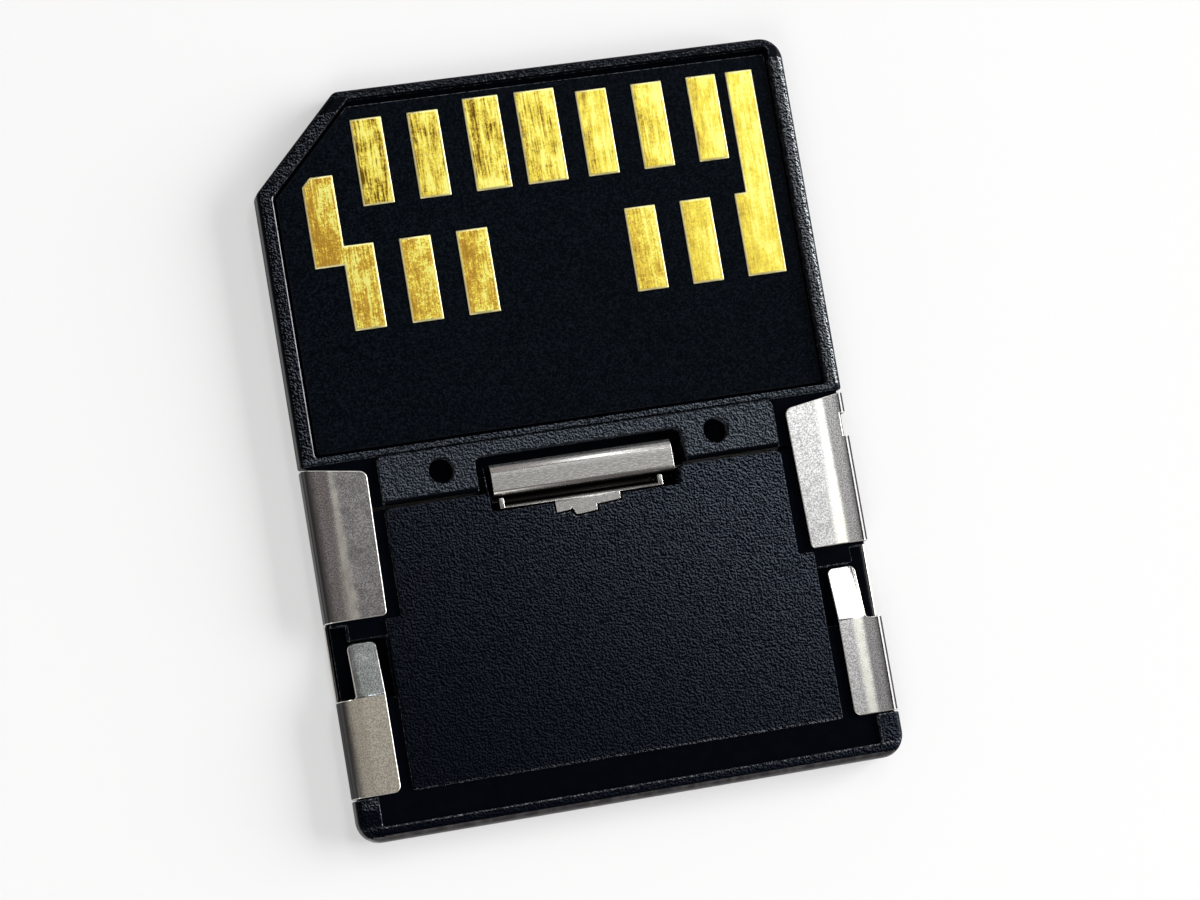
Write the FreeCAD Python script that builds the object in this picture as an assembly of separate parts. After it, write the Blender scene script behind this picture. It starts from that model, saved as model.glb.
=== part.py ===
import FreeCAD, Part
import math
import os

# A reduced-size memory card held in the adapter that makes it as long as a full-size card.
# It lies on its label side: x runs across, y towards the contact edge, z out of the contact face.
# The origin is the middle of the joined outline, on the label-side plane. Sizes are millimetres.

# Joined outline
card_width = 24.0
card_length = 18.0
joined_length = 32.0
joined_thickness = 1.4
index_chamfer = 4.0
corner_radius = 1.0
chamfer_corner_radius = 0.4
edge_rounding = 0.3

# Running and seating clearances
slide_clearance = 0.07
seat_gap = 0.15
body_clearance = 0.05

# How far cutting shapes run past what they cut, and how close two places count as the same
overshoot = 1.0
tolerance = 1e-6

# Card housing: a cover on the label side and a frame with a window on the contact side
cover_thickness = 0.35
cover_edge_rounding = 0.2
side_rim = 0.65
front_rim = 0.4
window_corner_radius = 0.2
window_depth = 0.25
rim_corner_radius = 0.1

# Contact board in the window, glued on a ledge of the frame
board_thickness = 0.25
board_side_gap = 0.16
board_front_gap = 0.3
board_corner_radius = 0.15
board_ledge = 0.45

# Gold contacts, in two rows
contact_thickness = 0.04
contact_width = 1.37
first_row_from_left = 4.5
first_row_from_front = 1.3
first_row_length = 3.8
first_row_count = 7
supply_contacts = (2, 3)
supply_contact_advance = 0.3
supply_contact_widening = 0.2
second_row_from_left = 3.28
second_row_from_right = 3.22
second_row_count = 8
second_row_plain_places = (1, 2, 5, 6)
second_row_from_front = 6.7
second_row_length = 3.7
tall_contact_width = 1.2
tall_contact_from_right = 1.5
tall_contact_gap = 0.47
stepped_contact_from_left = 2.0
stepped_contact_from_front = 3.58
stepped_contact_length = 3.95
stepped_contact_clip = 0.38

# Chips and passive parts on the inner side of the board
memory_chip_length = 8.0
memory_chip_width = 11.0
memory_chip_height = 0.38
memory_chip_from_bay = 0.8
controller_side = 5.0
controller_height = 0.35
controller_from_bay = 1.2
chips_from_bay_rear = 1.0
capacitor_length = 1.0
capacitor_width = 0.5
capacitor_height = 0.35
capacitor_pitch = 2.4
capacitor_count = 4
resistor_length = 0.6
resistor_width = 0.3
resistor_height = 0.25
resistor_pitch = 1.0
resistor_count = 5
chip_spacing = 1.0

# Rear end of the card: raised strip between two shoulders, with blind holes and a latch recess
rear_strip_length = 2.4
shoulder_length = 2.1
shoulder_side_gap = 0.5
shoulder_corner_radius = 0.3
strip_rear_rounding = 0.18
hole_diameter = 1.1
hole_depth = 0.6
hole_spacing = 12.15
hole_from_rear = 1.13
latch_recess_side_gap = 0.6
latch_recess_front_gap = 0.41
latch_recess_corner = 0.35
latch_bar_length = 0.6
latch_bar_depth = 0.4
latch_pocket_depth = 0.65

# Steel shell: one sheet, folded to a channel and cut to four clips
steel_sheet = 0.15
steel_bend = 0.3
clip_front_gap = 0.1
front_clip_length = 6.6
front_clip_width = 2.73
front_clip_slant = 0.42
front_clip_taper = 0.12
front_clip_nose_radius = 0.35
clip_heel_radius = 0.2
rear_clip_length = 4.15
rear_clip_width = 2.0
rear_clip_heel_radius = 0.3
side_lip_height = 0.36
notch_from_front = 0.93
notch_length = 0.99
notch_depth = 0.32

# Locking tongue cut from the front of each rear clip and bent down into the plastic
tongue_length = 2.35
tongue_width = 1.25
tongue_angle = 12.0
tongue_bend = 0.3
tongue_tip_radius = 0.28
tongue_root_radius = 0.15

# Adapter body: moulded slab with a raised textured land and a rear bar
clip_seat_gap = 0.05
land_drop = 0.02
land_side_gap = 0.54
land_step_gap = 0.15
land_corner_radius = 0.25
land_step_radius = 0.1
land_edge_rounding = 0.06
rear_bar_length = 1.88
rear_rim = 0.62
rear_post_width = 1.0
band_corner_radius = 0.12
tongue_pocket_floor = 0.5
tongue_stop_inset = 0.14
tongue_stop_gap = 0.12

# Latch spring: a folded strip with a root plate, a hairpin loop and a hooked lip
spring_sheet = 0.12
spring_bend = 0.16
latch_width = 8.0
latch_reach = 1.09
latch_drop = 0.04
latch_leg_gap = 0.18
lip_bend = 0.4
lip_angle = 40.0
lip_clearance = 0.05
loop_gap = 0.42
loop_bottom = 0.44
loop_floor_gap = 0.04
root_side_inset = 0.6
root_offset = -0.22
root_drop = 0.07
root_plate_length = 0.15
ear_length = 0.45
ear_width = 0.2
ear_height = 0.38
root_stub_width = 2.86
root_stub_length = 0.42
root_stub_slant = 0.2
root_tip_width = 1.1
root_tip_offset = -0.2
root_tip_length = 0.26
root_tip_slant = 0.18
root_nick_width = 0.12
root_nick_depth = 0.1
root_stub_clearance = 0.08
latch_opening_side_gap = 0.22
latch_opening_rear_gap = 0.08
latch_opening_corner = 0.2
latch_opening_mouth = 0.3

# Places worked out from the sizes above
half_width = card_width / 2
front_y = joined_length / 2
rear_y = -joined_length / 2
top_z = joined_thickness
card_rear_y = front_y - card_length
chamfer_line = front_y + half_width - index_chamfer
board_top_z = top_z - window_depth
board_bottom_z = board_top_z - board_thickness
bay_side_inset = side_rim + board_side_gap + board_ledge
bay_front_inset = front_rim + board_front_gap + board_ledge
window_rear_y = card_rear_y + rear_strip_length
rear_strip_half = half_width - front_clip_width - shoulder_side_gap
bay_rear_y = window_rear_y + board_side_gap + board_ledge
shoulder_y = card_rear_y + shoulder_length
clip_front_y = shoulder_y - clip_front_gap
front_clip_rear_y = clip_front_y - front_clip_length
rear_bar_y = rear_y + rear_bar_length
rear_clip_rear_y = rear_bar_y + slide_clearance
rear_clip_front_y = rear_clip_rear_y + rear_clip_length
body_front_y = card_rear_y - seat_gap
clip_floor_z = top_z - steel_sheet - clip_seat_gap
land_rear_half = half_width - rear_clip_width - land_side_gap
land_top_z = top_z - land_drop
body_side_x = half_width - steel_sheet - body_clearance
bend_inside = steel_bend - steel_sheet
above_top = top_z + overshoot
beyond_side = half_width + overshoot


def rounded_wire(corners, to_space):
    """Closed wire through corners (u, v, radius), each corner a tangent arc where its radius isn't 0."""
    edges = []
    joints = []
    count = len(corners)
    for index in range(count):
        before = FreeCAD.Vector(corners[index - 1][0], corners[index - 1][1], 0)
        corner = FreeCAD.Vector(corners[index][0], corners[index][1], 0)
        after = FreeCAD.Vector(corners[(index + 1) % count][0], corners[(index + 1) % count][1], 0)
        radius = corners[index][2]
        back = (before - corner).normalize()
        ahead = (after - corner).normalize()
        if radius == 0:
            joints.append((corner, None, corner))
            continue
        half_angle = back.getAngle(ahead) / 2
        reach = radius / math.tan(half_angle)
        bisector = (back + ahead).normalize()
        middle = corner + bisector * (radius / math.sin(half_angle) - radius)
        joints.append((corner + back * reach, middle, corner + ahead * reach))
    for index in range(count):
        start, middle, end = joints[index]
        following = joints[(index + 1) % count][0]
        if middle is not None:
            edges.append(Part.Arc(to_space(start), to_space(middle), to_space(end)).toShape())
        if (following - end).Length > tolerance:
            edges.append(Part.LineSegment(to_space(end), to_space(following)).toShape())
    return Part.Wire(edges)


def prism(corners, low_z, high_z):
    """Upright solid on a plan outline of corners (x, y, radius)."""
    outline = rounded_wire(corners, lambda point: FreeCAD.Vector(point.x, point.y, low_z))
    return Part.Face(outline).extrude(FreeCAD.Vector(0, 0, high_z - low_z))


def block(low, high):
    """Box between two opposite corners."""
    size = FreeCAD.Vector(*high) - FreeCAD.Vector(*low)
    return Part.makeBox(size.x, size.y, size.z, FreeCAD.Vector(*low))


def card_outline(inset_side, inset_front, rear, radius, chamfer_radius, rear_radius=0.0):
    """Plan of the card with its cut corner, drawn in by an inset from the sides and the front."""
    side = half_width - inset_side
    front = front_y - inset_front
    slant = chamfer_line - inset_side * math.sqrt(2)
    return [
        (-side, rear, rear_radius),
        (side, rear, rear_radius),
        (side, front, radius),
        (front - slant, front, chamfer_radius),
        (-side, slant - side, chamfer_radius),
    ]


def level_edges(solid, level, keep):
    """Edges of a solid that lie at one height and whose middle passes the given test."""
    chosen = []
    for edge in solid.Edges:
        flat = abs(edge.BoundBox.ZMin - level) < tolerance and abs(edge.BoundBox.ZMax - level) < tolerance
        if flat and keep(edge.CenterOfMass):
            chosen.append(edge)
    return chosen


def upright_edges(solid, side, y):
    """Upright edges of a solid at one distance from the middle plane and one place along y."""
    chosen = []
    for edge in solid.Edges:
        box = edge.BoundBox
        upright = box.XLength < tolerance and box.YLength < tolerance
        if upright and abs(abs(box.XMin) - side) < tolerance and abs(box.YMin - y) < tolerance:
            chosen.append(edge)
    return chosen


def folded_sheet(path, sheet, to_space, along):
    """Sheet of even thickness folded along a centre line of points (u, v, bend radius), then extruded."""
    left = []
    right = []
    for index, (u, v, radius) in enumerate(path):
        here = FreeCAD.Vector(u, v, 0)
        steps = []
        if index > 0:
            steps.append((here - FreeCAD.Vector(path[index - 1][0], path[index - 1][1], 0)).normalize())
        if index < len(path) - 1:
            steps.append((FreeCAD.Vector(path[index + 1][0], path[index + 1][1], 0) - here).normalize())
        normals = [FreeCAD.Vector(-step.y, step.x, 0) for step in steps]
        miter = sum(normals[1:], normals[0]).normalize()
        reach = sheet / 2 / miter.dot(normals[0])
        turn = 0.0
        if len(steps) == 2:
            turn = steps[0].x * steps[1].y - steps[0].y * steps[1].x
        inner = radius - sheet / 2 if radius else 0.0
        outer = radius + sheet / 2 if radius else 0.0
        left_radius, right_radius = (inner, outer) if turn > 0 else (outer, inner)
        left_point = here + miter * reach
        right_point = here - miter * reach
        left.append((left_point.x, left_point.y, left_radius))
        right.append((right_point.x, right_point.y, right_radius))
    wire = rounded_wire(left + right[::-1], to_space)
    return Part.Face(wire).extrude(along)


def mirrored(solid):
    """Copy of a solid on the other side of the middle plane."""
    return solid.mirror(FreeCAD.Vector(0, 0, 0), FreeCAD.Vector(1, 0, 0))


def both_sides(solid):
    """A solid and its mirror image, as one shape."""
    return Part.makeCompound([solid, mirrored(solid)])


def save(name, shape):
    """Write one piece to its own file, as clean separate solids."""
    clean = shape.removeSplitter()
    solids = clean.Solids
    piece = solids[0] if len(solids) == 1 else Part.makeCompound(solids)
    piece.exportStep(os.path.join("parts", name + ".step"))


def make_card_cover():
    """Label-side cover: a flat plate with the card's outline and rounded outer edges."""
    outline = card_outline(0, 0, shoulder_y, corner_radius, chamfer_corner_radius, rim_corner_radius)
    plate = prism(outline, 0, cover_thickness)
    outer = level_edges(plate, 0, lambda middle: middle.y > shoulder_y + tolerance)
    return plate.makeFillet(cover_edge_rounding, outer)


def card_tail():
    """Rear end of the card, thinned all round to slide inside the folded steel channel."""
    side = half_width - steel_sheet - slide_clearance
    low = steel_sheet + slide_clearance
    high = top_z - steel_sheet - slide_clearance
    radius = max(bend_inside - slide_clearance, slide_clearance / 2)
    corners = [(-side, low, radius), (side, low, radius), (side, high, radius), (-side, high, radius)]
    outline = rounded_wire(corners, lambda point: FreeCAD.Vector(point.x, card_rear_y, point.y))
    tail = Part.Face(outline).extrude(FreeCAD.Vector(0, shoulder_length, 0))
    strip = block((-rear_strip_half, card_rear_y, low), (rear_strip_half, shoulder_y, top_z))
    rear_edge = level_edges(strip, top_z, lambda middle: abs(middle.y - card_rear_y) < tolerance)
    strip = strip.makeFillet(strip_rear_rounding, rear_edge)
    return tail.fuse(strip)


def latch_recess():
    """Recess at the rear of the card: a shelf over the latch bar and a deeper pocket in front of it."""
    side = latch_width / 2 + latch_recess_side_gap
    front = card_rear_y + latch_reach + latch_recess_front_gap
    bar_y = card_rear_y + latch_bar_length
    radius = latch_recess_corner
    shelf = [
        (-side, card_rear_y - overshoot, 0),
        (side, card_rear_y - overshoot, 0),
        (side, front, radius),
        (-side, front, radius),
    ]
    pocket = [(-side, bar_y, 0), (side, bar_y, 0), (side, front, radius), (-side, front, radius)]
    shelf_cut = prism(shelf, top_z - latch_bar_depth, above_top)
    return shelf_cut.fuse(prism(pocket, top_z - latch_pocket_depth, above_top))


def make_card_frame():
    """Contact-side frame: rim round the window, rear strip with holes and latch recess, and shoulders."""
    outline = card_outline(0, 0, shoulder_y, corner_radius, chamfer_corner_radius, rim_corner_radius)
    frame = prism(outline, cover_thickness, top_z)
    outer = level_edges(frame, top_z, lambda middle: middle.y > shoulder_y + tolerance)
    frame = frame.makeFillet(edge_rounding, outer)
    frame = frame.fuse(card_tail()).removeSplitter()
    inner_corners = upright_edges(frame, rear_strip_half, shoulder_y)
    frame = frame.makeFillet(shoulder_corner_radius, inner_corners)
    radius = window_corner_radius
    window = card_outline(side_rim, front_rim, window_rear_y, radius, radius, radius)
    frame = frame.cut(prism(window, board_bottom_z, above_top))
    bay = card_outline(bay_side_inset, bay_front_inset, bay_rear_y, radius, radius, radius)
    frame = frame.cut(prism(bay, cover_thickness - overshoot, board_bottom_z))
    for side in (-1, 1):
        place = FreeCAD.Vector(side * hole_spacing / 2, card_rear_y + hole_from_rear, top_z - hole_depth)
        frame = frame.cut(Part.makeCylinder(hole_diameter / 2, hole_depth + overshoot, place))
    return frame.cut(latch_recess())


def make_contact_board():
    """Printed board in the window, with a thin gap all round."""
    inset = side_rim + board_side_gap
    rear = window_rear_y + board_side_gap
    radius = board_corner_radius
    outline = card_outline(inset, front_rim + board_front_gap, rear, radius, radius, radius)
    return prism(outline, board_bottom_z, board_top_z)


def contact(corners):
    """One flat gold contact on the board."""
    return prism([(x, y, 0) for x, y in corners], board_top_z, board_top_z + contact_thickness)


def contact_rectangle(left, right, rear, front):
    """Plan corners of a plain contact."""
    return [(left, rear), (right, rear), (right, front), (left, front)]


def make_contacts():
    """The contacts in number order: the first row, the tall one, the stepped one, the second row."""
    second_row = second_row_from_left - half_width
    row_span = card_width - second_row_from_left - second_row_from_right
    pitch = row_span / (second_row_count - 1)
    tall_right = half_width - tall_contact_from_right
    tall_left = tall_right - tall_contact_width
    row_front = front_y - first_row_from_front
    row_rear = row_front - first_row_length
    outlines = []
    for index in range(first_row_count):
        left = first_row_from_left - half_width + index * pitch
        right = left + contact_width
        front = row_front
        if index in supply_contacts:
            front = row_front + supply_contact_advance
            right = right + supply_contact_widening
        if index == supply_contacts[1]:
            left = left - supply_contact_widening
        if index == first_row_count - 1:
            right = min(right, tall_left - tall_contact_gap)
        outlines.append(contact_rectangle(left, right, row_rear, front))
    front = front_y - second_row_from_front
    rear = front - second_row_length
    foot_left = second_row + row_span
    outlines.append([
        (foot_left, rear),
        (tall_right, rear),
        (tall_right, row_front),
        (tall_left, row_front),
        (tall_left, front),
        (foot_left, front),
    ])
    step_left = stepped_contact_from_left - half_width
    step_right = step_left + contact_width
    step_front = front_y - stepped_contact_from_front
    step_rear = step_front - stepped_contact_length
    clip = stepped_contact_clip
    outlines.append([
        (second_row, rear),
        (second_row + contact_width, rear),
        (second_row + contact_width, front),
        (step_right, front),
        (step_right, step_front),
        (step_left + clip, step_front),
        (step_left, step_front - clip),
        (step_left, step_rear),
        (second_row, step_rear),
    ])
    for index in second_row_plain_places:
        left = second_row + index * pitch
        outlines.append(contact_rectangle(left, left + contact_width, rear, front))
    return [contact(corners) for corners in outlines]


def chip(middle_x, rear, width, length, height):
    """Flat package under the board, hanging from its inner side."""
    half = width / 2
    low = (middle_x - half, rear, board_bottom_z - height)
    high = (middle_x + half, rear + length, board_bottom_z)
    return block(low, high)


def make_inner_parts():
    """Chips and passive parts on the inner side of the board, by name."""
    bay_side = half_width - bay_side_inset
    rear = bay_rear_y + chips_from_bay_rear
    memory_x = bay_side - memory_chip_from_bay - memory_chip_width / 2
    controller_x = -bay_side + controller_from_bay + controller_side / 2
    memory = chip(memory_x, rear, memory_chip_width, memory_chip_length, memory_chip_height)
    controller = chip(controller_x, rear, controller_side, controller_side, controller_height)
    capacitors = []
    for index in range(capacitor_count):
        middle = memory_x + (index - (capacitor_count - 1) / 2) * capacitor_pitch
        place = rear + memory_chip_length + chip_spacing
        capacitors.append(chip(middle, place, capacitor_length, capacitor_width, capacitor_height))
    resistors = []
    for index in range(resistor_count):
        middle = controller_x + (index - (resistor_count - 1) / 2) * resistor_pitch
        place = rear + controller_side + chip_spacing
        resistors.append(chip(middle, place, resistor_width, resistor_length, resistor_height))
    return {
        "memory_chip": memory,
        "controller_chip": controller,
        "capacitors": Part.makeCompound(capacitors),
        "resistors": Part.makeCompound(resistors),
    }


def steel_channel():
    """The folded sheet before it is cut: a plate with both sides folded up and in."""
    low = steel_sheet / 2
    high = top_z - steel_sheet / 2
    side = half_width - steel_sheet / 2
    bend = steel_bend - steel_sheet / 2
    flange = half_width - front_clip_width
    path = [
        (-flange, high, 0),
        (-side, high, bend),
        (-side, low, bend),
        (side, low, bend),
        (side, high, bend),
        (flange, high, 0),
    ]
    length = clip_front_y - rear_clip_rear_y
    place = lambda point: FreeCAD.Vector(point.x, rear_clip_rear_y, point.y)
    return folded_sheet(path, steel_sheet, place, FreeCAD.Vector(0, length, 0))


def clip_regions():
    """Space above the side lip that the right-hand clips keep, in plan."""
    inner = half_width - front_clip_width
    front_clip = [
        (beyond_side, clip_front_y, 0),
        (half_width, clip_front_y, 0),
        (inner, clip_front_y - front_clip_slant, front_clip_nose_radius),
        (inner + front_clip_taper, front_clip_rear_y, clip_heel_radius),
        (beyond_side, front_clip_rear_y, 0),
    ]
    inner = half_width - rear_clip_width
    rear_clip = [
        (beyond_side, rear_clip_front_y, 0),
        (inner, rear_clip_front_y, 0),
        (inner, rear_clip_rear_y, rear_clip_heel_radius),
        (beyond_side, rear_clip_rear_y, 0),
    ]
    low = side_lip_height
    return prism(front_clip, low, above_top).fuse(prism(rear_clip, low, above_top))


def locking_tongue():
    """Right-hand tongue: runs forward from the rear clip, bent down towards its stop."""
    high = top_z - steel_sheet / 2
    bend = tongue_bend + steel_sheet / 2
    slope = math.radians(tongue_angle)
    inner = half_width - rear_clip_width
    fold_y = rear_clip_front_y + bend * math.tan(slope / 2)
    tip_y = rear_clip_front_y + tongue_length
    rise = (tip_y + steel_sheet - fold_y) * math.tan(slope)
    path = [
        (rear_clip_front_y - bend, high, 0),
        (fold_y, high, bend),
        (tip_y + steel_sheet, high - rise, 0),
    ]
    outer = inner + tongue_width
    root_width = tongue_width + tongue_root_radius
    place = lambda point: FreeCAD.Vector(inner, point.x, point.y)
    strip = folded_sheet(path, steel_sheet, place, FreeCAD.Vector(root_width, 0, 0))
    outline = [
        (inner, rear_clip_front_y - bend, 0),
        (inner + root_width, rear_clip_front_y - bend, 0),
        (inner + root_width, rear_clip_front_y, 0),
        (outer, rear_clip_front_y, tongue_root_radius),
        (outer, tip_y, tongue_tip_radius),
        (inner, tip_y, tongue_tip_radius),
    ]
    return strip.common(prism(outline, 0, above_top))


def make_steel_shell():
    """Stamped shell: label-side plate, low side lips, four clips, a notch and two locking tongues."""
    channel = steel_channel()
    plate_low = (-beyond_side, rear_clip_rear_y, -overshoot)
    plate_space = block(plate_low, (beyond_side, clip_front_y, side_lip_height))
    shell = channel.common(plate_space)
    shell = shell.fuse(channel.common(both_sides(clip_regions())))
    shell = shell.fuse(both_sides(locking_tongue()))
    notch_front = clip_front_y - notch_from_front
    notch_low = (half_width - notch_depth, notch_front - notch_length, side_lip_height)
    return shell.cut(block(notch_low, (beyond_side, notch_front, above_top)))


def stub_rear(x):
    """Rear edge of the root stub at one place across, on a slight slant."""
    rear = spring_root_y() - root_plate_length - root_stub_length
    return rear + x * root_stub_slant / root_stub_width


def root_outline(margin):
    """Stepped stub at the back of the spring's root plate, widened by a margin all round."""
    front = spring_root_y()
    half = root_stub_width / 2 + margin
    tip_left = root_tip_offset - root_tip_width / 2 - margin
    tip_right = root_tip_offset + root_tip_width / 2 + margin
    tip_corner = tip_left + root_tip_slant
    return [
        (half, front, 0),
        (half, stub_rear(half) - margin, 0),
        (tip_right, stub_rear(tip_right) - margin, 0),
        (tip_right, stub_rear(tip_right) - root_tip_length - margin, 0),
        (tip_corner, stub_rear(tip_corner) - root_tip_length - margin, 0),
        (tip_left, stub_rear(tip_left) - margin, 0),
        (-half, stub_rear(-half) - margin, 0),
        (-half, front, 0),
    ]


def root_nick():
    """Small pointed nick in the stub, at the left of its tip."""
    middle = root_tip_offset - root_tip_width / 2
    mouth = stub_rear(middle) - root_nick_depth
    corners = [
        (middle - root_nick_width, mouth, 0),
        (middle + root_nick_width, mouth, 0),
        (middle, stub_rear(middle) + root_nick_depth, 0),
    ]
    return prism(corners, 0, above_top)


def spring_root_y():
    """Front face of the spring's root leg, behind the hairpin loop."""
    return card_rear_y - latch_leg_gap - spring_sheet - loop_gap


def make_latch_spring():
    """Folded spring: root plate and stub, hairpin loop, flat strip over the card and hooked lip."""
    half_sheet = spring_sheet / 2
    leg_y = card_rear_y - latch_leg_gap - half_sheet
    root_y = spring_root_y() - half_sheet
    root_z = top_z - root_drop - half_sheet
    strip_z = top_z - latch_drop - half_sheet
    loop_z = loop_bottom + half_sheet
    loop_bend = (leg_y - root_y) / 2
    slope = math.radians(lip_angle)
    tip_z = top_z - latch_bar_depth + lip_clearance + half_sheet
    lip_run = (strip_z - tip_z) / math.tan(slope)
    lip_y = card_rear_y + latch_reach - half_sheet - lip_run
    tail_y = spring_root_y() - root_plate_length - root_stub_length - root_tip_length - root_stub_slant
    path = [
        (tail_y, root_z, 0),
        (root_y, root_z, spring_bend),
        (root_y, loop_z, loop_bend),
        (leg_y, loop_z, loop_bend),
        (leg_y, strip_z, spring_bend),
        (lip_y, strip_z, lip_bend),
        (lip_y + lip_run, tip_z, 0),
    ]
    half = latch_width / 2
    place = lambda point: FreeCAD.Vector(-half, point.x, point.y)
    sheet = folded_sheet(path, spring_sheet, place, FreeCAD.Vector(latch_width, 0, 0))
    middle_y = (leg_y + root_y) / 2
    left = root_offset - half + root_side_inset
    right = root_offset + half - root_side_inset
    beyond = half + overshoot
    behind = tail_y - overshoot
    sheet = sheet.cut(block((-beyond, behind, 0), (left, middle_y, above_top)))
    sheet = sheet.cut(block((right, behind, 0), (beyond, middle_y, above_top)))
    plate_rear = spring_root_y() - root_plate_length
    plan = block((-beyond, plate_rear, 0), (beyond, front_y, above_top))
    sheet = sheet.common(plan.fuse(prism(root_outline(0), 0, above_top))).cut(root_nick())
    ear_high = root_z + half_sheet
    ear_low = ear_high - ear_height
    for edge in (left - ear_width, right):
        ear_rear = (edge, plate_rear, ear_low)
        sheet = sheet.fuse(block(ear_rear, (edge + ear_width, plate_rear + ear_length, ear_high)))
    return sheet


def land_outline():
    """Plan of the raised land, wider behind the front clips, with the latch opening in its front edge."""
    front_side = rear_strip_half
    rear_side = land_rear_half
    step_y = front_clip_rear_y - land_step_gap
    opening_side = latch_width / 2 + latch_opening_side_gap
    opening_rear = spring_root_y() - root_plate_length - latch_opening_rear_gap
    right = [
        (rear_side, rear_clip_rear_y, land_step_radius),
        (rear_side, step_y, land_step_radius),
        (front_side, step_y, land_step_radius),
        (front_side, body_front_y, land_corner_radius),
        (opening_side, body_front_y, latch_opening_mouth),
        (opening_side, opening_rear, latch_opening_corner),
    ]
    left = [(-x, y, radius) for x, y, radius in reversed(right)]
    return right + left


def latch_opening():
    """Well for the hairpin loop in the body's front edge, and the seat of the root stub behind it."""
    side = latch_width / 2 + latch_opening_side_gap
    rear = spring_root_y() - root_plate_length - latch_opening_rear_gap
    corner = latch_opening_corner
    well = [(-side, rear, corner), (side, rear, corner), (side, front_y, 0), (-side, front_y, 0)]
    seat_z = top_z - root_drop - spring_sheet
    seat = prism(root_outline(root_stub_clearance), seat_z, above_top)
    return prism(well, loop_bottom - loop_floor_gap, above_top).fuse(seat)


def tongue_pocket():
    """Right-hand pocket that the tongue bends into, with a stop left standing in front of its tip."""
    inner = land_rear_half
    rear = rear_clip_front_y - seat_gap
    stop_y = rear_clip_front_y + tongue_length + tongue_stop_gap
    stop_side = half_width - rear_clip_width + tongue_width - tongue_stop_inset
    front = front_clip_rear_y - seat_gap
    behind_stop = block((inner, rear, tongue_pocket_floor), (beyond_side, stop_y, above_top))
    return behind_stop.fuse(block((stop_side, rear, tongue_pocket_floor), (beyond_side, front, above_top)))


def make_adapter_body():
    """Moulded body: slab in the shell, raised land, rear bar with a sunk band, pockets and latch well."""
    slab = block((-body_side_x, rear_bar_y, steel_sheet), (body_side_x, body_front_y, clip_floor_z))
    long_edges = level_edges(slab, steel_sheet, lambda middle: abs(middle.x) > body_side_x - tolerance)
    slab = slab.makeChamfer(bend_inside, long_edges)
    land = prism(land_outline(), steel_sheet, land_top_z)
    land = land.makeFillet(land_edge_rounding, level_edges(land, land_top_z, lambda middle: True))
    bar_corners = [
        (-half_width, rear_y, corner_radius),
        (half_width, rear_y, corner_radius),
        (half_width, rear_bar_y, 0),
        (-half_width, rear_bar_y, 0),
    ]
    bar = prism(bar_corners, 0, top_z)
    outer = level_edges(bar, top_z, lambda middle: middle.y < rear_bar_y - tolerance)
    outer += level_edges(bar, 0, lambda middle: middle.y < rear_bar_y - tolerance)
    bar = bar.makeFillet(edge_rounding, outer)
    band_side = half_width - rear_post_width
    band = prism([
        (-band_side, rear_y + rear_rim, band_corner_radius),
        (band_side, rear_y + rear_rim, band_corner_radius),
        (band_side, rear_clip_rear_y, 0),
        (-band_side, rear_clip_rear_y, 0),
    ], clip_floor_z, above_top)
    body = slab.fuse(bar.cut(band)).cut(both_sides(tongue_pocket())).fuse(land)
    return body.cut(latch_opening())


os.makedirs("parts", exist_ok=True)
save("card_cover", make_card_cover())
save("card_frame", make_card_frame())
save("contact_board", make_contact_board())
for number, shape in enumerate(make_contacts(), start=1):
    save("contact_" + str(number), shape)
for name, shape in make_inner_parts().items():
    save(name, shape)
save("adapter_body", make_adapter_body())
save("steel_shell", make_steel_shell())
save("latch_spring", make_latch_spring())
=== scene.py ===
import math

import bmesh
import bpy
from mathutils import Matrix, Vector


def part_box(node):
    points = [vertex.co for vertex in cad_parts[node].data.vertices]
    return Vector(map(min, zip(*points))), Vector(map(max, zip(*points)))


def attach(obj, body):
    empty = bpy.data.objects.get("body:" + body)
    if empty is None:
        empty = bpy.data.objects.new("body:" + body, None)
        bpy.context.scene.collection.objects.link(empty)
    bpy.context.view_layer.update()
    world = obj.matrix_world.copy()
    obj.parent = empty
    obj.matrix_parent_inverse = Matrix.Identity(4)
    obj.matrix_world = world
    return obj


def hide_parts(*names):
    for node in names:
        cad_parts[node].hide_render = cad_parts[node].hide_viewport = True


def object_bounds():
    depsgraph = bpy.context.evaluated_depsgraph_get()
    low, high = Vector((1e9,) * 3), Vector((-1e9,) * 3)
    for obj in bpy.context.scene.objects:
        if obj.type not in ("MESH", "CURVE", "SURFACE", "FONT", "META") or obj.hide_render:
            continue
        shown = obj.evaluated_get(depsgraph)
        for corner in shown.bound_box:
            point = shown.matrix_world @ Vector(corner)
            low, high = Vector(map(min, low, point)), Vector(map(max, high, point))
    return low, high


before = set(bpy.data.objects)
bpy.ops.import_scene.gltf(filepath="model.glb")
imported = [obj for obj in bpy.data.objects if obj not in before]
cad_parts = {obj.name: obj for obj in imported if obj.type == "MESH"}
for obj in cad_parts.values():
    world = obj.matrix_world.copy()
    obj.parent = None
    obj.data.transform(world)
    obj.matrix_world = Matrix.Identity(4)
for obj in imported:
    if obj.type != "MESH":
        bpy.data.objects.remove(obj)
cad_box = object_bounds()
mm = 0.001

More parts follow.
